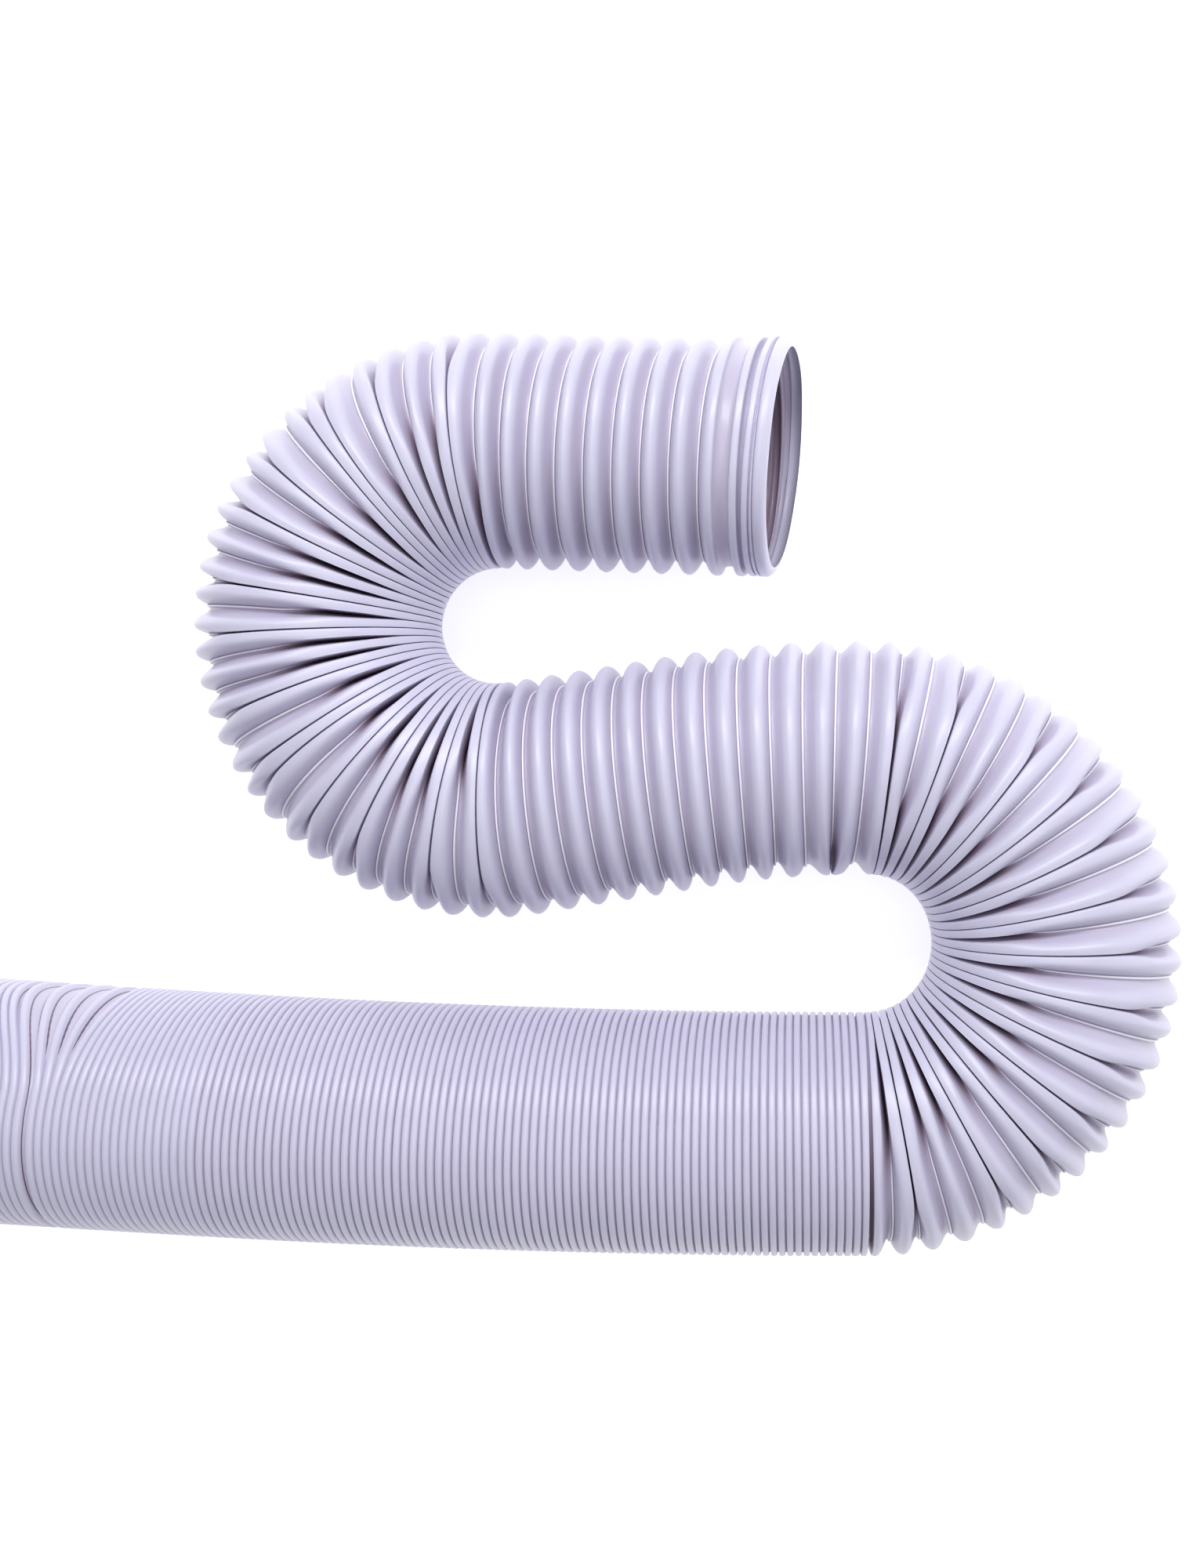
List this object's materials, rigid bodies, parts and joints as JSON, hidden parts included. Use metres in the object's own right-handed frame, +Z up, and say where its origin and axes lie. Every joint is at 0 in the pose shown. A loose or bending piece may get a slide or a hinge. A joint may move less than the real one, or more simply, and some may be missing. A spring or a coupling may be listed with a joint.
{
  "type": "flexible ventilation duct",
  "caption": "Pleated helically wound plastic exhaust hose lying in an S, stretched open over its bends and pushed together over its last run, open at both ends.",
  "frame": {"origin": "on the floor plane, under the middle of the box around the lying hose", "axes": "+X along the long packed run toward the right-hand bend, +Y across the S toward the short free end, +Z up off the floor"},
  "size_m": [0.8276, 0.5866, 0.1606],
  "materials": {
    "lilac_plastic": "satin polypropylene strip, pale lilac"
  },
  "bodies": {
    "root": {"duct_hose": "lilac_plastic"}
  },
  "joints": []
}
